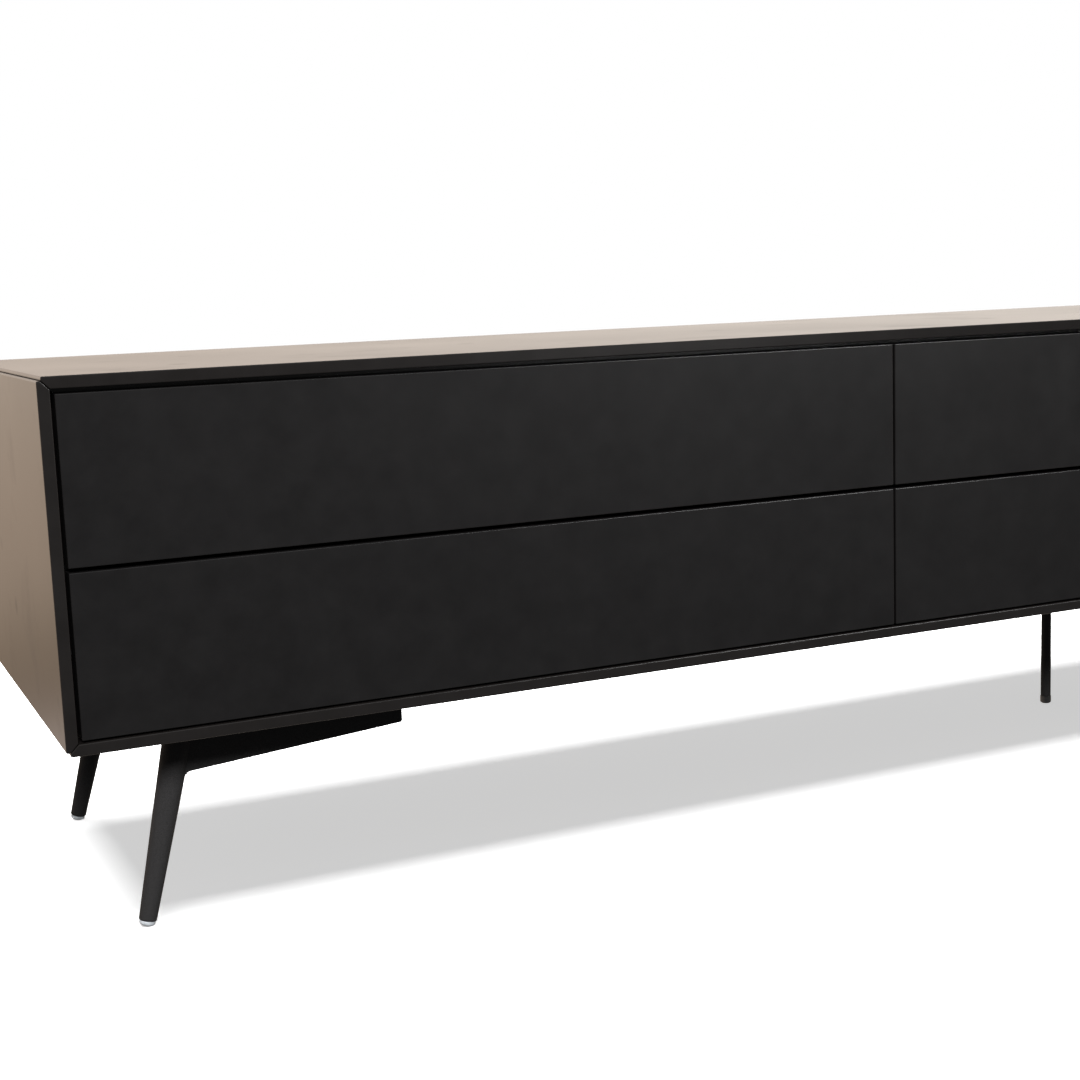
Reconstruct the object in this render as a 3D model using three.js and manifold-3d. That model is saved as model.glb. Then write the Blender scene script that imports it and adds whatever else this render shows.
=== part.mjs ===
// A low, wide sideboard: a mitred lacquered carcass on four splayed steel legs and a centre support,
// with six handle-less drawers in three columns and two rows. A push on a front opens its drawer.
// Millimetres. +X runs along the width, -Y is the front, +Z is up.
// The origin is the middle of the footprint, on the floor.
import * as THREE from "three";
import { mergeVertices } from "three/addons/utils/BufferGeometryUtils.js";
import Module from "manifold-3d";

const wasm = await Module();
wasm.setup();

// Overall
const WIDTH = 2400;
const DEPTH = 460;
const BODY_HEIGHT = 302;
const LEG_HEIGHT = 172;

// Carcass
const PANEL = 19; // thickness of the carcass panels and partitions
const EDGE = 10; // what the front rebate leaves of a panel's edge
const NOTCH = 3.8; // groove along each outer corner, where the tips of the mitres are taken off
const NOTCH_FLOOR = 3; // floor of that groove, inwards of both faces
const SEAM = 0.4; // open seam of a mitre
const BACK = 8;
const BACK_SLACK = 0.5; // play of the back panel in its rebate

// Drawer fronts
const COLUMNS = ["left", "middle", "right"];
const FRONT = 19;
const FRONT_RECESS = 1; // fronts lie this far behind the carcass edge
const PUSH_ROOM = 3; // room behind a front for the push that opens it
const GAP_SIDE = 3.2;
const GAP_COLUMN = 2.4;
const GAP_TOP = 4;
const GAP_MIDDLE = 3.6;
const GAP_BOTTOM = 2;
const UPPER_FRONT = 137; // height of the upper fronts; the lower ones take what is left

// Drawer boxes
const BOX_LENGTH = 400;
const BOX_HEIGHT = 100;
const BOX_WALL = 12;
const BOX_LIFT = 13; // box above the lower edge of its front
const BASE = 6; // thickness of a drawer's base
const BASE_LIFT = 10; // base above the lower edge of its box
const GROOVE = 6.2; // depth of the groove that holds the base
const GROOVE_SLACK = 0.2;

// Runners: a steel channel on the cabinet and a smaller one, nested in it, on the drawer
const RUNNER_SPACE = 12.7;
const RUNNER_LENGTH = 398;
const RUNNER_STEEL = 1.5;
const RUNNER_FROM_STEP = 2; // runner behind the step of the front rebate
const CABINET_RAIL_HEIGHT = 35;
const CABINET_RAIL_DEPTH = 9;
const DRAWER_RAIL_HEIGHT = 25;
const DRAWER_RAIL_DEPTH = 8.7;
const RAIL_LIFT = 45; // middle of the runner above the lower edge of the box

// Legs, measured inwards from a corner of the body
const FOOT_X = 64;
const FOOT_Y = 61;
const SPLAY_X = 44; // how far the top of the leg stands inwards of its foot
const SPLAY_Y = 14;
const LEG_TOP_RADIUS = 13.3;
const LEG_FOOT_RADIUS = 7.7;
const FOOT_CHAMFER = 0.8;
const GLIDE_HEIGHT = 4.6; // along the leg's axis, from the floor
const GLIDE_RADIUS = 6.9;
const GLIDE_DIP = 0.8; // how far the dome reaches below the floor before it is cut flat
const GLIDE_GAP = 0.2;
const DOME_STEPS = 8;
const ARM_END = 306; // end of the wedge arm, from the side of the body
const ARM_THICKNESS = 20;
const ARM_HEIGHT = 45; // at the leg
const ARM_END_HEIGHT = 29;
const ARM_CORNER = 3; // radius of the arm's free lower corner
const CORNER_STEPS = 6; // straight pieces in a small corner
const WELD = 1.6; // fillet between the arm's lower edge and the leg
const PLATE = 4;
const PLATE_WIDTH = 56;
const PLATE_START = 84;
const ROUND = 48; // sides of a round piece
const MARGIN = 20; // how far a cutting tool reaches past what it cuts

// Centre support
const ROD_RADIUS = 5.9;
const TIP_RADIUS = 6.4;
const TIP_HEIGHT = 9;
const TIP_CORNER = 2;
const SOCKET = 0.2; // gap between the rod and its tip
const PEG_RADIUS = 4.9; // the rod's turned-down end, held in the tip
const PEG_LENGTH = 4.5;
const ROD_PLATE = 70;

const halfWidth = WIDTH / 2;
const halfDepth = DEPTH / 2;
const stepDepth = FRONT_RECESS + FRONT + PUSH_ROOM;
const bay = (WIDTH - 4 * PANEL) / 3;
const frontWidth = (WIDTH - 2 * (EDGE + GAP_SIDE) - 2 * GAP_COLUMN) / 3;
const lowerFront = BODY_HEIGHT - 2 * EDGE - GAP_TOP - GAP_MIDDLE - GAP_BOTTOM - UPPER_FRONT;
const boxWidth = bay - 2 * RUNNER_SPACE;
const ROWS = [
  { name: "lower", height: lowerFront, bottom: EDGE + GAP_BOTTOM },
  { name: "upper", height: UPPER_FRONT, bottom: EDGE + GAP_BOTTOM + lowerFront + GAP_MIDDLE },
];

// Materials
const finish = (color, roughness, metalness) => () =>
  new THREE.MeshStandardMaterial({ color, roughness, metalness });
const lacquer = finish(0x242424, 0.38, 0);
const boxFoil = finish(0x3a3937, 0.6, 0);
const backBoard = finish(0x2c2b2a, 0.7, 0);
const zincSteel = finish(0xb4b6b8, 0.35, 1);
const powderCoat = finish(0x1d1d1e, 0.6, 0.3);
const glidePlastic = finish(0xb9bdc2, 0.5, 0);
const blackPlastic = finish(0x151515, 0.5, 0);

// Solids
function solid(geometry) {
  const bare = geometry.clone();
  bare.deleteAttribute("normal");
  bare.deleteAttribute("uv");
  const merged = mergeVertices(bare, 1e-4);
  return new wasm.Manifold(
    new wasm.Mesh({
      numProp: 3,
      vertProperties: new Float32Array(merged.attributes.position.array),
      triVerts: new Uint32Array(merged.index.array),
    }),
  );
}

function geometryOf(manifold) {
  const mesh = manifold.getMesh();
  const geometry = new THREE.BufferGeometry();
  geometry.setAttribute("position", new THREE.BufferAttribute(mesh.vertProperties, 3));
  geometry.setIndex(new THREE.BufferAttribute(mesh.triVerts, 1));
  geometry.computeVertexNormals();
  return geometry;
}

const cut = (body, ...tools) =>
  geometryOf(tools.reduce((left, tool) => left.subtract(solid(tool)), solid(body)));
const join = (...pieces) =>
  geometryOf(pieces.slice(1).reduce((sum, piece) => sum.add(solid(piece)), solid(pieces[0])));

// A block between two opposite corners.
function block(low, high) {
  const size = high.map((value, axis) => value - low[axis]);
  const centre = high.map((value, axis) => (value + low[axis]) / 2);
  return new THREE.BoxGeometry(...size).translate(...centre);
}

// An outline of [x, z] points, extruded along Y from one depth to another.
function prismY(outline, from, to) {
  const shape = new THREE.Shape(outline.map(([x, z]) => new THREE.Vector2(x, z)));
  const depth = to - from;
  return new THREE.ExtrudeGeometry(shape, { depth, bevelEnabled: false })
    .rotateX(Math.PI / 2)
    .translate(0, to, 0);
}

function mesh(name, geometry, material, x = 0, y = 0, z = 0) {
  const made = new THREE.Mesh(geometry, material());
  made.name = name;
  made.position.set(x, y, z);
  return made;
}

// Carcass. The four outer panels share one mitred outline, a length along the panel and a depth into it.
function mitredOutline(length) {
  const setBack = SEAM / Math.SQRT2;
  const mitre = (inward) => inward + setBack;
  return [
    [NOTCH, 0],
    [length - NOTCH, 0],
    [length - mitre(NOTCH_FLOOR), NOTCH_FLOOR],
    [length - mitre(PANEL), PANEL],
    [mitre(PANEL), PANEL],
    [mitre(NOTCH_FLOOR), NOTCH_FLOOR],
  ];
}

const frontOpening = () =>
  block(
    [EDGE - halfWidth, -halfDepth - MARGIN, EDGE],
    [halfWidth - EDGE, stepDepth - halfDepth, BODY_HEIGHT - EDGE],
  );
const backOpening = () =>
  block(
    [EDGE - halfWidth, halfDepth - BACK, EDGE],
    [halfWidth - EDGE, halfDepth + MARGIN, BODY_HEIGHT - EDGE],
  );

function outerPanel(length, place) {
  const outline = mitredOutline(length).map(([along, inward]) => place(along, inward));
  return cut(prismY(outline, -halfDepth, halfDepth), frontOpening(), backOpening());
}

function carcass() {
  const group = new THREE.Group();
  const lying = (z) => outerPanel(WIDTH, (along, inward) => [along - halfWidth, z(inward)]);
  const standing = (side) =>
    outerPanel(BODY_HEIGHT, (along, inward) => [side * (halfWidth - inward), along]);
  group.add(
    mesh("top_panel", lying((inward) => BODY_HEIGHT - inward), lacquer),
    mesh("bottom_panel", lying((inward) => inward), lacquer),
    mesh("left_side_panel", standing(-1), lacquer),
    mesh("right_side_panel", standing(1), lacquer),
  );
  for (const [name, index] of [["left", 1], ["right", 2]]) {
    const x = index * (bay + PANEL) - halfWidth;
    const geometry = block(
      [0, stepDepth - halfDepth, PANEL],
      [PANEL, halfDepth - BACK, BODY_HEIGHT - PANEL],
    );
    group.add(mesh(`${name}_partition`, geometry, lacquer, x));
  }
  const back = block(
    [EDGE + BACK_SLACK - halfWidth, 0, EDGE + BACK_SLACK],
    [halfWidth - EDGE - BACK_SLACK, BACK, BODY_HEIGHT - EDGE - BACK_SLACK],
  );
  group.add(mesh("back_panel", back, backBoard, 0, halfDepth - BACK, 0));
  return group;
}

// A channel with its web at depth 0 and its flanges reaching inwards; side is +1 or -1 along X.
function channel(height, depth, side) {
  const h = height / 2;
  const outline = [
    [0, -h],
    [depth, -h],
    [depth, RUNNER_STEEL - h],
    [RUNNER_STEEL, RUNNER_STEEL - h],
    [RUNNER_STEEL, h - RUNNER_STEEL],
    [depth, h - RUNNER_STEEL],
    [depth, h],
    [0, h],
  ];
  return prismY(outline.map(([x, z]) => [side * x, z]), 0, RUNNER_LENGTH);
}

// A drawer and its runners. The group's origin is at the left wall of the drawer's bay, at the middle of the
// depth and on the underside of the body.
function drawer(prefix, frontLeft, row) {
  const group = new THREE.Group();
  const front = block([0, 0, 0], [frontWidth, FRONT, row.height]);
  const frontY = FRONT_RECESS - halfDepth;
  group.add(mesh(`${prefix}_drawer_front`, front, lacquer, frontLeft, frontY, row.bottom));

  const boxY = frontY + FRONT;
  const boxZ = row.bottom + BOX_LIFT;
  const inside = (grow, bottom, top) =>
    block(
      [BOX_WALL - grow, BOX_WALL - grow, bottom],
      [boxWidth - BOX_WALL + grow, BOX_LENGTH - BOX_WALL + grow, top],
    );
  const walls = cut(
    block([0, 0, 0], [boxWidth, BOX_LENGTH, BOX_HEIGHT]),
    inside(0, -MARGIN, BOX_HEIGHT + MARGIN),
    inside(GROOVE, BASE_LIFT - GROOVE_SLACK, BASE_LIFT + BASE + GROOVE_SLACK),
  );
  group.add(mesh(`${prefix}_drawer_box`, walls, boxFoil, RUNNER_SPACE, boxY, boxZ));
  const base = inside(GROOVE - GROOVE_SLACK, 0, BASE);
  group.add(mesh(`${prefix}_drawer_base`, base, boxFoil, RUNNER_SPACE, boxY, boxZ + BASE_LIFT));

  const railY = stepDepth + RUNNER_FROM_STEP - halfDepth;
  const railZ = boxZ + RAIL_LIFT;
  const sides = [
    { name: "left", inwards: 1, wall: 0, box: RUNNER_SPACE },
    { name: "right", inwards: -1, wall: bay, box: bay - RUNNER_SPACE },
  ];
  for (const side of sides) {
    const fixed = channel(CABINET_RAIL_HEIGHT, CABINET_RAIL_DEPTH, side.inwards);
    const moving = channel(DRAWER_RAIL_HEIGHT, DRAWER_RAIL_DEPTH, -side.inwards);
    const start = `${prefix}_${side.name}`;
    group.add(mesh(`${start}_cabinet_rail`, fixed, zincSteel, side.wall, railY, railZ));
    group.add(mesh(`${start}_drawer_rail`, moving, zincSteel, side.box, railY, railZ));
  }
  return group;
}

function drawers() {
  const group = new THREE.Group();
  COLUMNS.forEach((column, index) => {
    const bayLeft = PANEL + index * (bay + PANEL) - halfWidth;
    const frontLeft = EDGE + GAP_SIDE + index * (frontWidth + GAP_COLUMN) - halfWidth - bayLeft;
    for (const row of ROWS) {
      const made = drawer(`${row.name}_${column}`, frontLeft, row);
      made.position.x = bayLeft;
      group.add(made);
    }
  });
  return group;
}

// Legs. A leg's own frame has its corner of the body at the origin, with X and Y inwards.
const foot = new THREE.Vector3(FOOT_X, FOOT_Y, 0);
const legAxis = new THREE.Vector3(SPLAY_X, SPLAY_Y, LEG_HEIGHT);
const legLength = legAxis.length();

// Turns a [radius, height] profile into a body along the leg's axis, with height 0 at the floor.
function alongLeg(profile) {
  const points = profile.map(([radius, height]) => new THREE.Vector2(radius, height));
  const turn = new THREE.Quaternion().setFromUnitVectors(
    new THREE.Vector3(0, 1, 0),
    legAxis.clone().normalize(),
  );
  return new THREE.LatheGeometry(points, ROUND)
    .applyQuaternion(turn)
    .translate(foot.x, foot.y, foot.z);
}

function leg() {
  const grow = (LEG_TOP_RADIUS - LEG_FOOT_RADIUS) / legLength;
  const tube = alongLeg([
    [0, GLIDE_HEIGHT],
    [LEG_FOOT_RADIUS - FOOT_CHAMFER, GLIDE_HEIGHT],
    [LEG_FOOT_RADIUS, GLIDE_HEIGHT + FOOT_CHAMFER],
    [LEG_TOP_RADIUS + grow * MARGIN, legLength + MARGIN],
    [0, legLength + MARGIN],
  ]);
  const topX = FOOT_X + SPLAY_X;
  const middleY = FOOT_Y + SPLAY_Y;
  const armStart = topX - LEG_FOOT_RADIUS;
  const armLow = LEG_HEIGHT - ARM_HEIGHT;
  const armRise = (ARM_HEIGHT - ARM_END_HEIGHT) / (ARM_END - ARM_CORNER - armStart);
  const legShare = armLow / LEG_HEIGHT;
  const legRadius = LEG_FOOT_RADIUS + (LEG_TOP_RADIUS - LEG_FOOT_RADIUS) * legShare;
  const weldX = FOOT_X + SPLAY_X * legShare + (legRadius * legLength) / LEG_HEIGHT;
  const arm = new THREE.Shape();
  arm.moveTo(armStart, LEG_HEIGHT);
  arm.lineTo(armStart - WELD, armLow - WELD);
  arm.lineTo(weldX - WELD / 2, armLow - WELD);
  arm.quadraticCurveTo(weldX, armLow, weldX + WELD, armLow + armRise * (weldX + WELD - armStart));
  arm.lineTo(ARM_END - ARM_CORNER, LEG_HEIGHT - ARM_END_HEIGHT);
  arm.quadraticCurveTo(
    ARM_END,
    LEG_HEIGHT - ARM_END_HEIGHT,
    ARM_END,
    LEG_HEIGHT - ARM_END_HEIGHT + ARM_CORNER,
  );
  arm.lineTo(ARM_END, LEG_HEIGHT);
  const armPoints = arm.getPoints(CORNER_STEPS).map((point) => [point.x, point.y]);
  const half = ARM_THICKNESS / 2;
  const armBody = prismY(armPoints, middleY - half, middleY + half);
  const plate = block(
    [PLATE_START, middleY - PLATE_WIDTH / 2, LEG_HEIGHT - PLATE],
    [ARM_END, middleY + PLATE_WIDTH / 2, LEG_HEIGHT],
  );
  const above = block([0, 0, LEG_HEIGHT], [ARM_END, 2 * middleY, LEG_HEIGHT + 2 * MARGIN]);
  return cut(join(tube, armBody, plate), above);
}

function glide() {
  const top = GLIDE_HEIGHT - GLIDE_GAP;
  const dome = [[0, -GLIDE_DIP]];
  for (let i = 1; i <= DOME_STEPS; i++) {
    const angle = (i / DOME_STEPS) * (Math.PI / 2);
    const height = -GLIDE_DIP + (top - GLIDE_DIP) * (1 - Math.cos(angle));
    dome.push([GLIDE_RADIUS * Math.sin(angle), height]);
  }
  dome.push([GLIDE_RADIUS, top], [0, top]);
  const below = block([0, 0, -MARGIN], [2 * FOOT_X, 2 * FOOT_Y, 0]);
  return cut(alongLeg(dome), below);
}

function legs() {
  const group = new THREE.Group();
  const corners = [
    ["front_left", 1, 1],
    ["front_right", -1, 1],
    ["back_left", 1, -1],
    ["back_right", -1, -1],
  ];
  for (const [name, x, y] of corners) {
    const corner = new THREE.Group();
    corner.position.set(-x * halfWidth, -y * halfDepth, 0);
    corner.scale.set(x, y, 1);
    corner.add(mesh(`${name}_leg`, leg(), powderCoat));
    corner.add(mesh(`${name}_glide`, glide(), glidePlastic));
    group.add(corner);
  }
  return group;
}

// A body turned about a vertical axis from a [radius, height] profile.
function upright(profile) {
  const points = profile.map(([radius, height]) => new THREE.Vector2(radius, height));
  return new THREE.LatheGeometry(points, ROUND).rotateX(Math.PI / 2);
}

function centreSupport() {
  const group = new THREE.Group();
  const rod = upright([
    [0, TIP_HEIGHT - PEG_LENGTH],
    [PEG_RADIUS - SOCKET, TIP_HEIGHT - PEG_LENGTH],
    [PEG_RADIUS - SOCKET, TIP_HEIGHT + SOCKET],
    [ROD_RADIUS, TIP_HEIGHT + SOCKET],
    [ROD_RADIUS, LEG_HEIGHT - PLATE / 2],
    [0, LEG_HEIGHT - PLATE / 2],
  ]);
  const plate = block(
    [-ROD_PLATE / 2, -ROD_PLATE / 2, LEG_HEIGHT - PLATE],
    [ROD_PLATE / 2, ROD_PLATE / 2, LEG_HEIGHT],
  );
  const tip = upright([
    [0, 0],
    [TIP_RADIUS - TIP_CORNER, 0],
    [TIP_RADIUS - TIP_CORNER / 4, TIP_CORNER / 2],
    [TIP_RADIUS, TIP_CORNER],
    [TIP_RADIUS, TIP_HEIGHT],
    [PEG_RADIUS, TIP_HEIGHT],
    [PEG_RADIUS, TIP_HEIGHT - PEG_LENGTH - SOCKET],
    [0, TIP_HEIGHT - PEG_LENGTH - SOCKET],
  ]);
  group.add(mesh("centre_support_rod", join(rod, plate), powderCoat));
  group.add(mesh("centre_support_tip", tip, blackPlastic));
  return group;
}

const sideboard = new THREE.Group();
const body = new THREE.Group();
body.position.z = LEG_HEIGHT;
body.add(carcass(), drawers());
sideboard.add(body, legs(), centreSupport());

export default sideboard;
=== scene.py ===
"""Looks of the low sideboard: lacquered case and fronts, powder-coated legs, drawer boxes, runners and
fixings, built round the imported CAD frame. Metres; +X along the width, -Y the front, +Z up, the floor at 0."""

import math

import bmesh
import bpy
from mathutils import Matrix, Vector


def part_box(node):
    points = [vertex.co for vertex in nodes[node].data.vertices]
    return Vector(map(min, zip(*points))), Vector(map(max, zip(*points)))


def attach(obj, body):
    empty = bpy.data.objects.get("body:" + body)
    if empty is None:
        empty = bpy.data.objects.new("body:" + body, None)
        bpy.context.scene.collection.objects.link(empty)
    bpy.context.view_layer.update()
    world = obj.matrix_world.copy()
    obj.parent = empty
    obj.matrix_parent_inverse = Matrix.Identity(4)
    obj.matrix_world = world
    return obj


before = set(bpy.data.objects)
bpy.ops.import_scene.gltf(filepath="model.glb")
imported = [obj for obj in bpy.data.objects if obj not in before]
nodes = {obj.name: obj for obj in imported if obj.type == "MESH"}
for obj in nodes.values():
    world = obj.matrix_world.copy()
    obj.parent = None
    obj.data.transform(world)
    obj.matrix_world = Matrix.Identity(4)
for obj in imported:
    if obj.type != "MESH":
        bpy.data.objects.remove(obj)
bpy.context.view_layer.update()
scene = bpy.context.scene

MM = 0.001
X, Y, Z = Vector((1, 0, 0)), Vector((0, 1, 0)), Vector((0, 0, 1))

ROWS = ("upper", "lower")
COLUMNS = ("left", "middle", "right")
SIDES = ("left", "right")
DRAWERS = [f"{row}_{column}" for row in ROWS for column in COLUMNS]
CORNERS = ("front_left", "front_right", "back_left", "back_right")
PANELS = ("top_panel", "bottom_panel", "left_side_panel", "right_side_panel")
PARTITIONS = ("left_partition", "right_partition")


# ---------------------------------------------------------------- camera

CAMERA_PLACE = (-1.3943, -1.5621, 0.5295)
CAMERA_TURN = (81.345, 2.128, -25.075)  # degrees
CAMERA_LENS = 55.96  # millimetres, on a sensor 36 wide


def add_camera():
    camera = bpy.data.cameras.new("camera")
    camera.lens = CAMERA_LENS
    camera.sensor_width = 36
    camera.clip_end = 100
    holder = bpy.data.objects.new("camera", camera)
    holder.location = CAMERA_PLACE
    holder.rotation_euler = [math.radians(angle) for angle in CAMERA_TURN]
    scene.collection.objects.link(holder)
    scene.camera = holder


add_camera()


# ---------------------------------------------------------------- node materials

class Finish:
    """A procedural material: a Principled shader, driven by textures in the object's own space."""

    def __init__(self, name):
        self.material = bpy.data.materials.new(name)
        self.material.use_nodes = True
        self.tree = self.material.node_tree
        self.shader = self.tree.nodes["Principled BSDF"]
        self.place = self.tree.nodes.new("ShaderNodeTexCoord").outputs["Object"]

    def set(self, **values):
        """Sets inputs of the shader; an underscore stands for a space in an input's name."""
        for key, value in values.items():
            self.shader.inputs[key.replace("_", " ")].default_value = value

    def drive(self, socket, source):
        self.tree.links.new(source, self.shader.inputs[socket])

    def stretched(self, factors):
        node = self.tree.nodes.new("ShaderNodeMapping")
        node.inputs["Scale"].default_value = factors
        self.tree.links.new(self.place, node.inputs["Vector"])
        return node.outputs["Vector"]

    def noise(self, scale, detail=3.0, roughness=0.5, stretch=None):
        node = self.tree.nodes.new("ShaderNodeTexNoise")
        node.inputs["Scale"].default_value = scale
        node.inputs["Detail"].default_value = detail
        node.inputs["Roughness"].default_value = roughness
        place = self.stretched(stretch) if stretch else self.place
        self.tree.links.new(place, node.inputs["Vector"])
        return node.outputs["Fac"]

    def cells(self, scale):
        node = self.tree.nodes.new("ShaderNodeTexVoronoi")
        node.inputs["Scale"].default_value = scale
        self.tree.links.new(self.place, node.inputs["Vector"])
        return node.outputs

    def span(self, source, low, high, start=0.3, end=0.7):
        """Maps start..end of a texture, by default its middle range, to low..high."""
        node = self.tree.nodes.new("ShaderNodeMapRange")
        for socket, value in (("From Min", start), ("From Max", end), ("To Min", low), ("To Max", high)):
            node.inputs[socket].default_value = value
        self.tree.links.new(source, node.inputs["Value"])
        return node.outputs["Result"]

    def math(self, operation, first, second):
        node = self.tree.nodes.new("ShaderNodeMath")
        node.operation = operation
        self.tree.links.new(first, node.inputs[0])
        self.tree.links.new(second, node.inputs[1])
        return node.outputs["Value"]

    def tones(self, factor, dark, light):
        """A colour between dark, where the factor is 0, and light, where it is 1."""
        node = self.tree.nodes.new("ShaderNodeValToRGB")
        for stop, colour in zip(node.color_ramp.elements, (dark, light)):
            stop.color = (*colour, 1)
        self.tree.links.new(factor, node.inputs["Fac"])
        return node.outputs["Color"]

    def bump(self, *layers):
        """Layers of (height, depth in metres), each laid on the one before."""
        normal = None
        for height, depth in layers:
            node = self.tree.nodes.new("ShaderNodeBump")
            node.inputs["Strength"].default_value = 1.0
            node.inputs["Distance"].default_value = depth
            self.tree.links.new(height, node.inputs["Height"])
            if normal:
                self.tree.links.new(normal, node.inputs["Normal"])
            normal = node.outputs["Normal"]
        self.drive("Normal", normal)


def satin_lacquer(name, dark, light, rough_low, rough_high):
    """Sprayed black lacquer: an even film with a faint mottle, fine orange peel, dull wiped clouds and a few
    finger marks."""
    finish = Finish(name)
    mottle = finish.noise(scale=38, detail=5, roughness=0.6)
    finish.drive("Base Color", finish.tones(finish.span(mottle, 0, 1), dark, light))

    even = finish.span(finish.noise(scale=2.6, detail=2), rough_low, rough_high)
    clouds = finish.noise(scale=9, detail=4, roughness=0.65)
    wiped = finish.span(clouds, low=0, high=0.04, start=0.56, end=0.74)
    spots = finish.cells(scale=15)
    mark = finish.span(spots["Distance"], low=0.06, high=0, start=0.05, end=0.16)
    few = finish.span(spots["Color"], low=0, high=1, start=0.72, end=0.74)
    marked = finish.math("MULTIPLY", mark, few)
    finish.drive("Roughness", finish.math("ADD", finish.math("ADD", even, wiped), marked))

    orange_peel = finish.noise(scale=700, detail=2)
    waves = finish.noise(scale=26, detail=1)
    finish.bump((orange_peel, 0.012 * MM), (waves, 0.04 * MM))
    finish.set(IOR=1.5)
    return finish.material


def powder_coat():
    """Structured powder coat: small even grains that break up the shine."""
    finish = Finish("structured_powder_coat")
    grain = finish.noise(scale=1500, detail=2, roughness=0.6)
    coarse = finish.noise(scale=620, detail=2)
    colour = finish.tones(finish.span(grain, 0, 1), (0.0135, 0.013, 0.0132), (0.027, 0.0262, 0.0265))
    finish.drive("Base Color", colour)
    finish.drive("Roughness", finish.span(coarse, 0.5, 0.64))
    finish.bump((grain, 0.12 * MM), (coarse, 0.2 * MM))
    finish.set(Specular_IOR_Level=0.06)
    return finish.material


def box_foil():
    """Anthracite foil on board, embossed with a fine linen-like weave."""
    finish = Finish("anthracite_foil")
    along = finish.noise(scale=900, detail=2, stretch=(0.06, 1, 1))
    across = finish.noise(scale=900, detail=2, stretch=(1, 0.06, 0.06))
    weave = finish.math("MULTIPLY", along, across)
    share = finish.span(weave, 0, 1, start=0.15, end=0.35)
    finish.drive("Base Color", finish.tones(share, (0.035, 0.034, 0.033), (0.06, 0.058, 0.056)))
    finish.drive("Roughness", finish.span(finish.noise(scale=14), 0.48, 0.58))
    finish.bump((weave, 0.12 * MM))
    return finish.material


def back_board():
    """Thin fibreboard, painted black by roller."""
    finish = Finish("painted_fibreboard")
    fibre = finish.noise(scale=420, detail=4, roughness=0.7, stretch=(1, 1, 0.35))
    colour = finish.tones(finish.span(fibre, 0, 1), (0.016, 0.0155, 0.015), (0.032, 0.031, 0.03))
    finish.drive("Base Color", colour)
    finish.drive("Roughness", finish.span(finish.noise(scale=5), 0.58, 0.72))
    finish.bump((fibre, 0.1 * MM))
    return finish.material


def zinc_plate(name, dark, light):
    """Bright zinc plating with fine drawing lines along the strip."""
    finish = Finish(name)
    lines = finish.noise(scale=1300, detail=2, stretch=(1, 0.015, 1))
    patches = finish.noise(scale=60)
    finish.drive("Base Color", finish.tones(finish.span(patches, 0, 1), dark, light))
    finish.drive("Roughness", finish.span(lines, 0.24, 0.4))
    finish.bump((lines, 0.02 * MM))
    finish.set(Metallic=1.0)
    return finish.material


def fine_grained(name, dark, light, rough_low, rough_high, **values):
    """Moulded plastic, or blackened metal, with a fine grain."""
    finish = Finish(name)
    grain = finish.noise(scale=500)
    finish.drive("Base Color", finish.tones(finish.span(grain, 0, 1), dark, light))
    finish.drive("Roughness", finish.span(finish.noise(scale=80, detail=2), rough_low, rough_high))
    finish.bump((grain, 0.04 * MM))
    finish.set(**values)
    return finish.material


CARCASS = satin_lacquer(
    "carcass_satin_lacquer", (0.0057, 0.0049, 0.0046), (0.0079, 0.0069, 0.0066), 0.27, 0.31,
)
FRONTS = satin_lacquer(
    "front_satin_lacquer", (0.004, 0.0037, 0.0038), (0.0061, 0.0057, 0.0058), 0.3, 0.34,
)
COAT = powder_coat()
FOIL = box_foil()
BACK = back_board()
RAIL_ZINC = zinc_plate("zinc_plated_steel", (0.5, 0.51, 0.53), (0.66, 0.67, 0.68))
SCREW_ZINC = zinc_plate("zinc_plated_screw", (0.55, 0.56, 0.56), (0.72, 0.72, 0.72))
BLACK_SCREW = fine_grained(
    "blackened_screw", (0.02, 0.02, 0.021), (0.035, 0.035, 0.036), 0.32, 0.42, Metallic=0.8,
)
GLIDE = fine_grained(
    "translucent_glide", (0.42, 0.45, 0.48), (0.6, 0.63, 0.66), 0.35, 0.5, Transmission_Weight=0.35,
)
TIP = fine_grained("black_tip_plastic", (0.012, 0.012, 0.012), (0.02, 0.02, 0.02), 0.42, 0.52)
LATCH = fine_grained("dark_grey_plastic", (0.05, 0.05, 0.052), (0.075, 0.075, 0.078), 0.4, 0.5)


# ---------------------------------------------------------------- CAD nodes

WELD_DISTANCE = 0.01 * MM
FLAT_ANGLE = math.radians(0.5)  # faces that meet at less are one flat face
SHARP_ANGLE = math.radians(30)  # edges that turn by more are rounded


def smooth_shading():
    """A node group that shades a body smooth, so the bevels that follow read as rounded arrises."""
    group = bpy.data.node_groups.new("smooth_shading", "GeometryNodeTree")
    group.interface.new_socket("Geometry", in_out="INPUT", socket_type="NodeSocketGeometry")
    group.interface.new_socket("Geometry", in_out="OUTPUT", socket_type="NodeSocketGeometry")
    start = group.nodes.new("NodeGroupInput")
    smooth = group.nodes.new("GeometryNodeSetShadeSmooth")
    end = group.nodes.new("NodeGroupOutput")
    group.links.new(start.outputs[0], smooth.inputs["Geometry"])
    group.links.new(smooth.outputs[0], end.inputs[0])
    return group


SMOOTH = smooth_shading()


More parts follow.
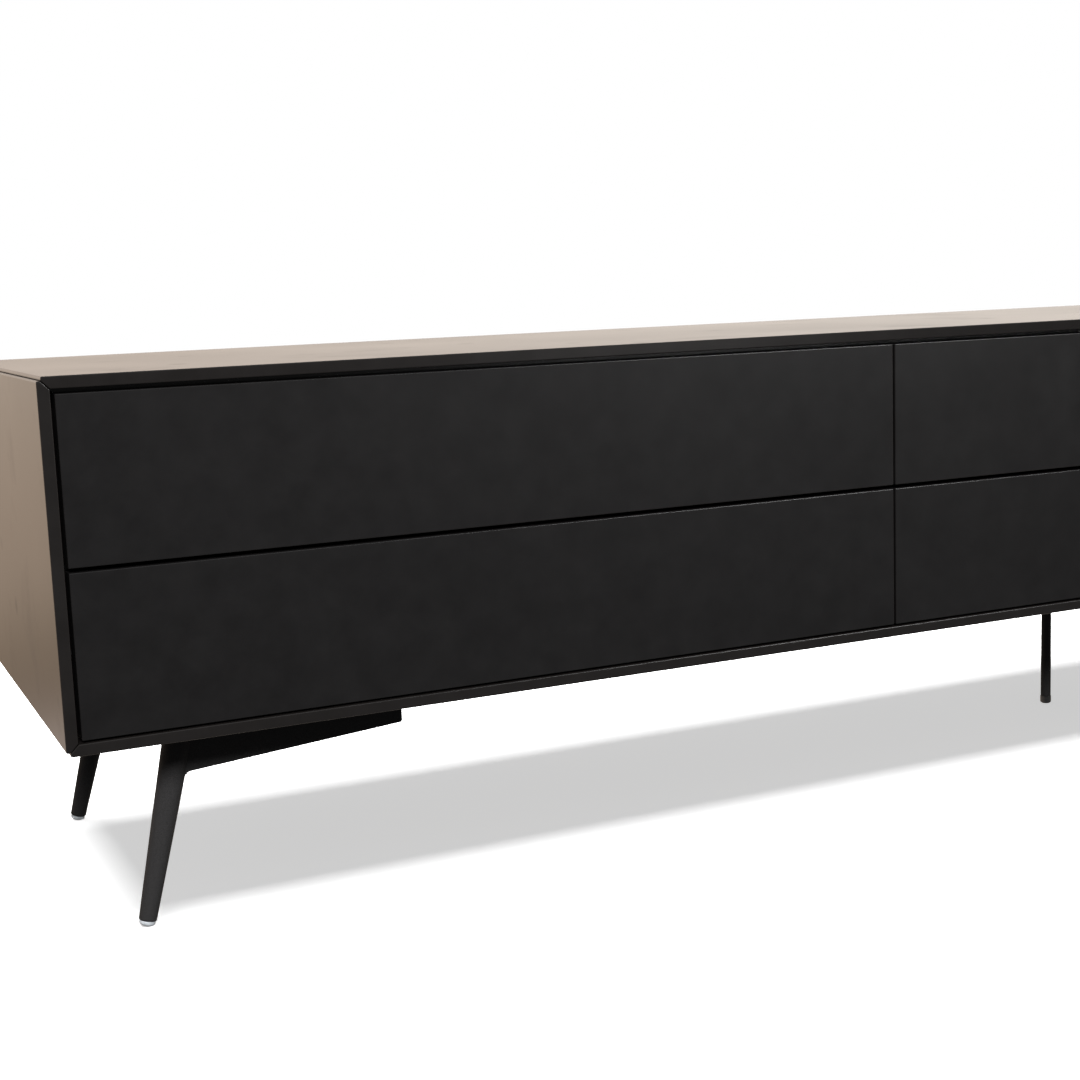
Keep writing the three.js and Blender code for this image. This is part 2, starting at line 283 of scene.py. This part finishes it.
def soften(piece, radius, segments):
    """Rounds a body's hard edges."""
    weld = piece.modifiers.new("weld", "WELD")
    weld.merge_threshold = WELD_DISTANCE
    dissolve = piece.modifiers.new("dissolve", "DECIMATE")
    dissolve.decimate_type = "DISSOLVE"
    dissolve.angle_limit = FLAT_ANGLE
    shading = piece.modifiers.new("shading", "NODES")
    shading.node_group = SMOOTH
    bevel = piece.modifiers.new("bevel", "BEVEL")
    bevel.width = radius
    bevel.segments = segments
    bevel.limit_method = "ANGLE"
    bevel.angle_limit = SHARP_ANGLE
    bevel.miter_outer = "MITER_ARC"
    weighted = piece.modifiers.new("normals", "WEIGHTED_NORMAL")
    weighted.keep_sharp = False


def dress(node, material, radius, segments=2):
    piece = nodes[node]
    piece.data.materials.clear()
    piece.data.materials.append(material)
    soften(piece, radius, segments)


def dress_nodes():
    for name in PANELS:
        dress(name, CARCASS, radius=1 * MM, segments=4)
    for name in PARTITIONS:
        dress(name, CARCASS, radius=0.5 * MM)
    dress("back_panel", BACK, radius=0.4 * MM)
    for drawer in DRAWERS:
        dress(f"{drawer}_drawer_front", FRONTS, radius=0.9 * MM, segments=3)
        dress(f"{drawer}_drawer_box", FOIL, radius=0.8 * MM)
        dress(f"{drawer}_drawer_base", FOIL, radius=0.3 * MM, segments=1)
        for side in SIDES:
            dress(f"{drawer}_{side}_cabinet_rail", RAIL_ZINC, radius=0.4 * MM)
            dress(f"{drawer}_{side}_drawer_rail", RAIL_ZINC, radius=0.4 * MM)
    for corner in CORNERS:
        dress(f"{corner}_leg", COAT, radius=0.6 * MM)
        dress(f"{corner}_glide", GLIDE, radius=0.3 * MM)
    dress("centre_support_rod", COAT, radius=0.6 * MM)
    dress("centre_support_tip", TIP, radius=0.3 * MM)


dress_nodes()


# ---------------------------------------------------------------- small shapes

def facing(point, direction):
    """A place at point whose own +Z looks along direction."""
    turn = Vector(direction).to_track_quat("Z", "Y").to_matrix().to_4x4()
    return Matrix.Translation(point) @ turn


def turn_in(count):
    """The angles of a full turn in equal steps."""
    return [2 * math.pi * i / count for i in range(count)]


def ring(radii, height, angles):
    return [(radius * math.cos(a), radius * math.sin(a), height) for radius, a in zip(radii, angles)]


def circle(radius, height, angles):
    return ring([radius] * len(angles), height, angles)


class Builder:
    """Collects shapes into one mesh."""

    def __init__(self):
        self.mesh = bmesh.new()

    def skin(self, rings):
        """Joins closed rings of vertices, one to the next, and caps both ends."""
        count = len(rings[0])
        for low, high in zip(rings, rings[1:]):
            for i in range(count):
                j = (i + 1) % count
                self.mesh.faces.new((low[i], low[j], high[j], high[i]))
        self.mesh.faces.new(list(reversed(rings[0])))
        self.mesh.faces.new(rings[-1])

    def rings(self, rings, place):
        """A body through closed rings of local points, one above another."""
        self.skin([[self.mesh.verts.new(place @ Vector(point)) for point in points] for points in rings])

    def extrude(self, outline, along):
        """A closed outline of points, drawn out along a vector."""
        ends = [[self.mesh.verts.new(point + offset) for point in outline] for offset in (Vector(), along)]
        self.skin(ends)

    def ball(self, centre, radius):
        bmesh.ops.create_icosphere(
            self.mesh, subdivisions=2, radius=radius, matrix=Matrix.Translation(centre),
        )

    def finish(self, name, body, material, slot):
        bmesh.ops.recalc_face_normals(self.mesh, faces=self.mesh.faces)
        mesh = bpy.data.meshes.new(name)
        self.mesh.to_mesh(mesh)
        self.mesh.free()
        mesh.materials.append(material)
        mesh.shade_smooth()
        piece = bpy.data.objects.new(name, mesh)
        scene.collection.objects.link(piece)
        normals = piece.modifiers.new("normals", "WEIGHTED_NORMAL")
        normals.keep_sharp = False
        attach(piece, body)


SUNK = -0.3  # underside of every screw head, in shares of its height

# The pan head, in shares of its radius or height
PAN_RIM = 0.35  # height at which the dome starts
PAN_DRAWN_IN = 0.28  # how much narrower the dome is at its top
PAN_FLAT = 0.66  # radius of the flat round the recess
CROSS_REACH = 0.56  # half the length of the cross recess
CROSS_HALF = 0.15  # half the width of its arms
CROSS_FLOOR = -0.1  # height of its floor
CROSS_FLOOR_SIZE = 0.55  # its floor against its mouth

# The button head, in shares of its radius or height
BUTTON_RIM = 0.12
BUTTON_FLAT = 0.62
SOCKET_CORNER = 0.5  # the hexagon's corners
SOCKET_FLOOR = 0.1


def cross_angles():
    """Angles that meet every corner of the cross recess."""
    corner = math.atan2(CROSS_HALF, CROSS_REACH)
    eighth = math.pi / 8
    quarter = (0, corner, eighth + corner / 2, 2 * eighth, 3 * eighth - corner / 2, 4 * eighth - corner)
    return [turn * math.pi / 2 + angle for turn in range(4) for angle in quarter]


def cross_radius(angle):
    """Where a ray at this angle leaves the cross."""
    folded = abs((angle + math.pi / 4) % (math.pi / 2) - math.pi / 4)
    return min(CROSS_REACH / math.cos(folded), CROSS_HALF / max(math.sin(folded), 1e-6))


def hexagon_radius(angle):
    """Where a ray at this angle leaves the hexagon."""
    return SOCKET_CORNER * math.cos(math.pi / 6) / math.cos(angle % (math.pi / 3) - math.pi / 6)


def screw(builder, place, radius, height):
    """A pan-head screw: the visible head, domed, with a tapering cross recess."""
    angles = cross_angles()
    rings = [circle(radius, SUNK * height, angles), circle(radius, PAN_RIM * height, angles)]
    for share in (0.25, 0.5, 0.75):
        lean = share * math.pi / 2
        drawn_in = 1 - PAN_DRAWN_IN * (1 - math.cos(lean))
        rise = PAN_RIM + (1 - PAN_RIM) * math.sin(lean)
        rings.append(circle(radius * drawn_in, height * rise, angles))
    rings.append(circle(radius * PAN_FLAT, height, angles))
    cross = [radius * cross_radius(a) for a in angles]
    rings.append(ring(cross, height, angles))
    rings.append(ring([CROSS_FLOOR_SIZE * reach for reach in cross], CROSS_FLOOR * height, angles))
    builder.rings(rings, place)


def socket_screw(builder, place, radius, height):
    """A button-head screw with a hexagon socket."""
    angles = turn_in(24)
    rings = [circle(radius, SUNK * height, angles), circle(radius, BUTTON_RIM * height, angles)]
    for share in (0.3, 0.6, 0.85):
        lean = share * math.pi / 2
        drawn_in = BUTTON_FLAT + (1 - BUTTON_FLAT) * math.cos(lean)
        rise = BUTTON_RIM + (1 - BUTTON_RIM) * math.sin(lean)
        rings.append(circle(radius * drawn_in, height * rise, angles))
    rings.append(circle(radius * BUTTON_FLAT, height, angles))
    hexagon = [radius * hexagon_radius(a) for a in angles]
    rings.append(ring(hexagon, height, angles))
    rings.append(ring(hexagon, SOCKET_FLOOR * height, angles))
    builder.rings(rings, place)


def disc(builder, place, radius, height, rounding):
    """A low round body with a rounded upper edge."""
    angles = turn_in(32)
    rings = [circle(radius, 0, angles)]
    for share in (0, 0.35, 0.7, 1):
        lean = share * math.pi / 2
        reach = radius - rounding * (1 - math.cos(lean))
        rings.append(circle(reach, height - rounding * (1 - math.sin(lean)), angles))
    builder.rings(rings, place)


# ---------------------------------------------------------------- runners

RAIL_STEEL = 1.5 * MM
CAGE_FROM_MOUTH = 4 * MM
CAGE_LENGTH = 92 * MM
CAGE_STRIP = 0.5 * MM  # thickness
CAGE_WEB = 3 * MM  # the cage's web and its open edge, from the wall of the case
CAGE_REACH = 8.2 * MM
BALL_RADIUS = 1.6 * MM
BALL_PITCH = 15 * MM
BALL_FROM_WALL = 6.3 * MM
RAIL_SCREW = (3.6 * MM, 1.2 * MM)  # radius and height of the head
CABINET_SCREW_PLACES = (0.34, 0.62, 0.94)  # shares of the rail's length, from the front
DRAWER_SCREW_PLACES = (0.08, 0.5, 0.92)


class Runner:
    """The measures of one runner, from its two rails."""

    def __init__(self, drawer, side):
        self.name = f"{drawer}_{side}"
        self.inward = 1 if side == "left" else -1
        low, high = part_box(f"{self.name}_cabinet_rail")
        inner_low, inner_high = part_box(f"{self.name}_drawer_rail")
        self.front, self.back = low.y, high.y
        self.middle = (low.z + high.z) / 2
        self.wall = low.x if side == "left" else high.x
        self.box_side = inner_high.x if side == "left" else inner_low.x
        # The balls run half-way between the rails' flanges.
        self.race = ((high.z - low.z) / 2 - RAIL_STEEL + (inner_high.z - inner_low.z) / 2) / 2


def ball_cage(runner):
    """A strip bent to a channel, which holds the balls apart."""
    web = runner.wall + runner.inward * CAGE_WEB
    web_inside = web + runner.inward * CAGE_STRIP
    reach = runner.wall + runner.inward * CAGE_REACH
    outer, inner = runner.race + CAGE_STRIP / 2, runner.race - CAGE_STRIP / 2
    outline = [
        (web, outer), (reach, outer), (reach, inner), (web_inside, inner),
        (web_inside, -inner), (reach, -inner), (reach, -outer), (web, -outer),
    ]
    y = runner.front + CAGE_FROM_MOUTH
    builder = Builder()
    builder.extrude([Vector((x, y, runner.middle + z)) for x, z in outline], Y * CAGE_LENGTH)
    builder.finish(f"{runner.name}_ball_cage", "cabinet", SCREW_ZINC, "runner_steel")


def runner_balls(runner):
    """Two rows of balls in the cage."""
    x = runner.wall + runner.inward * BALL_FROM_WALL
    middle = runner.front + CAGE_FROM_MOUTH + CAGE_LENGTH / 2
    count = int(CAGE_LENGTH / BALL_PITCH)
    builder = Builder()
    for index in range(count):
        y = middle + (index - (count - 1) / 2) * BALL_PITCH
        for level in (runner.race, -runner.race):
            builder.ball(Vector((x, y, runner.middle + level)), BALL_RADIUS)
    builder.finish(f"{runner.name}_runner_balls", "cabinet", SCREW_ZINC, "runner_steel")


def rail_screws(runner, rail, x, direction, shares, body):
    """Screws on the inside of a rail's web."""
    builder = Builder()
    for share in shares:
        y = runner.front + share * (runner.back - runner.front)
        screw(builder, facing((x, y, runner.middle), direction), *RAIL_SCREW)
    builder.finish(f"{runner.name}_{rail}_screws", body, SCREW_ZINC, "runner_steel")


def runner_details(drawer, side):
    runner = Runner(drawer, side)
    inwards = X * runner.inward
    steel = runner.inward * RAIL_STEEL
    ball_cage(runner)
    runner_balls(runner)
    rail_screws(runner, "cabinet_rail", runner.wall + steel, inwards, CABINET_SCREW_PLACES, "cabinet")
    rail_screws(
        runner, "drawer_rail", runner.box_side - steel, -inwards, DRAWER_SCREW_PLACES, f"{drawer}_drawer",
    )


for drawer in DRAWERS:
    for side in SIDES:
        runner_details(drawer, side)


# ---------------------------------------------------------------- drawer and case fixings

BOX_WALL = 12 * MM
FRONT_SCREW = (4.6 * MM, 2 * MM)  # radius and height of the head, as in the other screws below
FRONT_SCREW_SIDE = 85 * MM  # from the sides of the box
FRONT_SCREW_LOW = 36 * MM
FRONT_SCREW_HIGH = 22 * MM

LATCH_INSET = 3.2 * MM  # from the end of the front
COLLAR = (3 * MM, 0.2 * MM)  # radius and height
PLUNGER = (1.8 * MM, 0.4 * MM)
LATCH_ROUNDING = 0.15 * MM

BACK_SCREW = (3.5 * MM, 1.5 * MM)
BACK_SCREW_SUNK = 0.6 * MM
BACK_SCREW_INSET = 6 * MM
BACK_SCREW_SPACES = 12  # between the screws of a long edge
BACK_SCREW_LEVELS = (0.33, 0.67)  # of those on the sides and partitions

PLATE = 4 * MM
LEG_SCREW = (5.2 * MM, 3 * MM)
LEG_SCREW_PLACES = (22 * MM, 100 * MM, 168 * MM)  # from the free end of the arm
LEG_SCREW_ASIDE = 19 * MM

SUPPORT_SCREW = (4.4 * MM, 2.6 * MM)
SUPPORT_SCREW_INSET = 11 * MM


def front_fixings(drawer):
    """Screws through the box's front wall into the drawer front."""
    low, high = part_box(f"{drawer}_drawer_box")
    builder = Builder()
    for x in (low.x + FRONT_SCREW_SIDE, high.x - FRONT_SCREW_SIDE):
        for z in (low.z + FRONT_SCREW_LOW, high.z - FRONT_SCREW_HIGH):
            screw(builder, facing((x, low.y + BOX_WALL, z), Y), *FRONT_SCREW)
    builder.finish(f"{drawer}_front_fixing_screws", f"{drawer}_drawer", SCREW_ZINC, "runner_steel")


def push_latches(drawer):
    """Latches set into the edges behind a front, one at each end: a collar and the tip of its plunger."""
    front_low, front_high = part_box(f"{drawer}_drawer_front")
    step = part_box(PARTITIONS[0])[0].y
    middle = (front_low.z + front_high.z) / 2
    collars, tips = Builder(), Builder()
    for x in (front_low.x + LATCH_INSET, front_high.x - LATCH_INSET):
        place = facing((x, step, middle), -Y)
        disc(collars, place, *COLLAR, LATCH_ROUNDING)
        disc(tips, place, *PLUNGER, LATCH_ROUNDING)
    collars.finish(f"{drawer}_push_latch_collars", "cabinet", LATCH, "tip_plastic")
    tips.finish(f"{drawer}_push_latch_tips", "cabinet", TIP, "tip_plastic")


def back_screws():
    """Screws round the back panel and along the partitions."""
    low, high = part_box("back_panel")
    left, right = low.x + BACK_SCREW_INSET, high.x - BACK_SCREW_INSET
    y = high.y - BACK_SCREW_SUNK
    builder = Builder()
    for index in range(BACK_SCREW_SPACES + 1):
        x = left + index / BACK_SCREW_SPACES * (right - left)
        for z in (low.z + BACK_SCREW_INSET, high.z - BACK_SCREW_INSET):
            screw(builder, facing((x, y, z), Y), *BACK_SCREW)
    middles = [sum(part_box(name), Vector()).x / 2 for name in PARTITIONS]
    for x in (left, right, *middles):
        for share in BACK_SCREW_LEVELS:
            z = low.z + share * (high.z - low.z)
            screw(builder, facing((x, y, z), Y), *BACK_SCREW)
    builder.finish("back_panel_screws", "cabinet", BLACK_SCREW, "back_board")


def leg_screws(corner):
    """Screws through the mounting plate, in two rows beside the wedge arm."""
    low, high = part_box(f"{corner}_leg")
    inward = 1 if low.x < 0 else -1
    arm_end = high.x if low.x < 0 else low.x
    corners = [vertex.co for vertex in nodes[f"{corner}_leg"].data.vertices]
    end_ys = [co.y for co in corners if abs(co.x - arm_end) < MM]
    arm_middle = (min(end_ys) + max(end_ys)) / 2
    builder = Builder()
    for along in LEG_SCREW_PLACES:
        for aside in (-LEG_SCREW_ASIDE, LEG_SCREW_ASIDE):
            place = facing((arm_end - inward * along, arm_middle + aside, high.z - PLATE), -Z)
            socket_screw(builder, place, *LEG_SCREW)
    builder.finish(f"{corner}_leg_screws", "cabinet", BLACK_SCREW, "powder_coat")


def support_screws():
    """Screws in the corners of the centre support's plate."""
    low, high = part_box("centre_support_rod")
    builder = Builder()
    for x in (low.x + SUPPORT_SCREW_INSET, high.x - SUPPORT_SCREW_INSET):
        for y in (low.y + SUPPORT_SCREW_INSET, high.y - SUPPORT_SCREW_INSET):
            socket_screw(builder, facing((x, y, high.z - PLATE), -Z), *SUPPORT_SCREW)
    builder.finish("centre_support_screws", "cabinet", BLACK_SCREW, "powder_coat")


for drawer in DRAWERS:
    front_fixings(drawer)
    push_latches(drawer)
back_screws()
for corner in CORNERS:
    leg_screws(corner)
support_screws()


# ---------------------------------------------------------------- stage

FLOOR_RADIUS = 9
FLOOR_GLOW = 0.561
RIM_START, RIM_END = 1.6, 4  # where the floor's glow starts to rise, and where it is white
ROOM_RADIUS = 12
BACKDROP_RADIUS = 30
DAYLIGHT = 0.17  # strength of the even light from all round

# The room that the lacquer mirrors, as colours by height: straight down is 0, the horizon 0.5, straight up 1.
# Behind the sideboard at its left end, behind it at its right end, and in front of it.
ROOM_LEFT = (
    (0.0, (0.3, 0.26, 0.22)), (0.355, (1.08, 0.92, 0.81)), (0.38, (1.08, 0.9, 0.79)),
    (0.394, (0.44, 0.32, 0.24)), (0.41, (0.44, 0.32, 0.22)), (0.435, (0.8, 0.61, 0.46)),
    (0.455, (0.88, 0.67, 0.51)), (0.49, (0.98, 0.77, 0.6)), (0.53, (1.38, 1.14, 0.95)),
    (0.7, (1.1, 0.92, 0.79)), (1.0, (0.5, 0.5, 0.5)),
)
ROOM_RIGHT = (
    (0.0, (0.3, 0.28, 0.26)), (0.4, (0.6, 0.5, 0.42)), (0.49, (1.5, 1.3, 1.15)),
    (0.53, (1.75, 1.55, 1.38)), (0.7, (1.3, 1.2, 1.1)), (1.0, (0.5, 0.5, 0.5)),
)
ROOM_FRONT = (
    (0.0, (0.15, 0.15, 0.15)), (0.45, (0.1, 0.1, 0.1)), (0.6, (0.16, 0.16, 0.16)),
    (0.72, (0.4, 0.4, 0.41)), (0.85, (0.45, 0.45, 0.46)), (1.0, (0.4, 0.4, 0.4)),
)
LEFT_TO_RIGHT = (0.45, 0.79)  # where one part of the room gives way to the next, in shares of its width
FRONT_TO_BACK = (0.25, 0.55)


def add_floor():
    """A pale matt floor. It glows a little, so the shadow on it stays light, and more towards its rim, where
    it runs out into the white."""
    mesh = bpy.data.meshes.new("floor")
    rim = circle(FLOOR_RADIUS, 0, turn_in(96))
    mesh.from_pydata(rim, [], [range(len(rim))])
    floor = bpy.data.objects.new("floor", mesh)
    scene.collection.objects.link(floor)
    finish = Finish("pale_floor")
    finish.set(Roughness=0.9, Specular_IOR_Level=0.0, Emission_Color=(1, 1, 1, 1))
    away = finish.tree.nodes.new("ShaderNodeVectorMath")
    away.operation = "LENGTH"
    finish.tree.links.new(finish.place, away.inputs[0])
    glow = finish.span(away.outputs["Value"], FLOOR_GLOW, 1, start=RIM_START, end=RIM_END)
    finish.drive("Emission Strength", glow)
    finish.drive("Base Color", finish.tones(finish.noise(scale=3, detail=2), (0.79,) * 3, (0.81,) * 3))
    mesh.materials.append(finish.material)
    floor.visible_glossy = False
    floor.visible_diffuse = False
    return floor


def surround(name, radius):
    """A glowing ball round everything, white unless it is coloured. It casts no shadow, and matt surfaces
    get no light from it."""
    mesh = bpy.data.meshes.new(name)
    shape = bmesh.new()
    bmesh.ops.create_uvsphere(shape, u_segments=64, v_segments=48, radius=radius)
    shape.to_mesh(mesh)
    shape.free()
    mesh.shade_smooth()
    ball = bpy.data.objects.new(name, mesh)
    scene.collection.objects.link(ball)
    material = bpy.data.materials.new(f"{name}_glow")
    material.use_nodes = True
    tree = material.node_tree
    tree.nodes.clear()
    out = tree.nodes.new("ShaderNodeOutputMaterial")
    glow = tree.nodes.new("ShaderNodeEmission")
    tree.links.new(glow.outputs[0], out.inputs["Surface"])
    mesh.materials.append(material)
    ball.visible_diffuse = False
    ball.visible_shadow = False
    ball.visible_transmission = False
    return ball, tree, glow.inputs["Color"]


MIX_FIRST, MIX_SECOND, MIX_RESULT = 6, 7, 2  # a Mix node's sockets for colours


def ramp_of(tree, factor, stops):
    node = tree.nodes.new("ShaderNodeValToRGB")
    elements = node.color_ramp.elements
    while len(elements) < len(stops):
        elements.new(0.5)
    for element, (place, colour) in zip(elements, stops):
        element.position = place
        element.color = (*colour, 1)
    tree.links.new(factor, node.inputs["Fac"])
    return node.outputs["Color"]


def blend_of(tree, factor, reach, first, second):
    """first where the factor is under the reach, second where it is over it."""
    share = tree.nodes.new("ShaderNodeMapRange")
    share.inputs["From Min"].default_value, share.inputs["From Max"].default_value = reach
    mix = tree.nodes.new("ShaderNodeMix")
    mix.data_type = "RGBA"
    tree.links.new(factor, share.inputs["Value"])
    tree.links.new(share.outputs["Result"], mix.inputs["Factor"])
    tree.links.new(first, mix.inputs[MIX_FIRST])
    tree.links.new(second, mix.inputs[MIX_SECOND])
    return mix.outputs[MIX_RESULT]


def add_room():
    """The room that the lacquer mirrors: warm behind, dim in front. It is seen in reflections only."""
    room, tree, colour = surround("room", ROOM_RADIUS)
    split = tree.nodes.new("ShaderNodeSeparateXYZ")
    place = tree.nodes.new("ShaderNodeTexCoord").outputs["Generated"]
    tree.links.new(place, split.inputs[0])
    across, depth, height = split.outputs
    left, right, front = [ramp_of(tree, height, stops) for stops in (ROOM_LEFT, ROOM_RIGHT, ROOM_FRONT)]
    behind = blend_of(tree, across, LEFT_TO_RIGHT, left, right)
    tree.links.new(blend_of(tree, depth, FRONT_TO_BACK, front, behind), colour)
    room.visible_camera = False


def add_backdrop():
    """The white that the camera sees beyond the floor."""
    backdrop = surround("backdrop", BACKDROP_RADIUS)[0]
    backdrop.visible_glossy = False


def add_world():
    world = bpy.data.worlds.new("studio")
    world.use_nodes = True
    background = world.node_tree.nodes["Background"]
    background.inputs["Color"].default_value = (1, 1, 1, 1)
    background.inputs["Strength"].default_value = DAYLIGHT
    scene.world = world


def add_light(name, location, target, size, power, mirrored_only=False):
    """A soft box. It either lights matt surfaces and isn't seen in glossy ones, or the other way round."""
    light = bpy.data.lights.new(name, "AREA")
    light.shape = "RECTANGLE"
    light.size, light.size_y = size
    light.energy = power
    holder = bpy.data.objects.new(name, light)
    holder.location = location
    aim = Vector(target) - Vector(location)
    holder.rotation_euler = aim.to_track_quat("-Z", "Y").to_euler()
    holder.visible_glossy = mirrored_only
    holder.visible_diffuse = not mirrored_only
    scene.collection.objects.link(holder)
    return holder


def link_light(light, pieces, state):
    """Lights only the pieces (INCLUDE), or everything but them (EXCLUDE)."""
    group = bpy.data.collections.new(f"{light.name}_{state.lower()}s")
    for piece in pieces:
        group.objects.link(piece)
    for member in group.collection_objects:
        member.light_linking.link_state = state
    light.light_linking.receiver_collection = group


def add_lights(floor, top):
    overhead = add_light(
        "overhead_softbox", location=(0.1, 0, 3), target=(0.1, 0, 0), size=(5.4, 4.0), power=900,
    )
    link_light(overhead, [floor], "INCLUDE")
    front = add_light(
        "front_softbox", location=(-1.7, -3.0, 2.2), target=(-0.6, 0, 0.2), size=(1.4, 0.9), power=272,
    )
    link_light(front, [floor], "EXCLUDE")
    side = add_light(
        "side_softbox", location=(1.1, -2.3, 1.5), target=(-0.4, -0.2, 0.4), size=(0.8, 0.6),
        power=40, mirrored_only=True,
    )
    link_light(side, [floor, top], "EXCLUDE")
    # Lower than the top, so that only the top's front edge mirrors it.
    strip = add_light(
        "edge_strip", location=(0.45, -2.3, 0.42), target=(-0.67, -0.23, 0.42), size=(0.6, 0.08),
        power=0.8, mirrored_only=True,
    )
    link_light(strip, [top], "INCLUDE")


floor = add_floor()
add_room()
add_backdrop()
add_world()
add_lights(floor, nodes["top_panel"])
scene.view_settings.view_transform = "Standard"
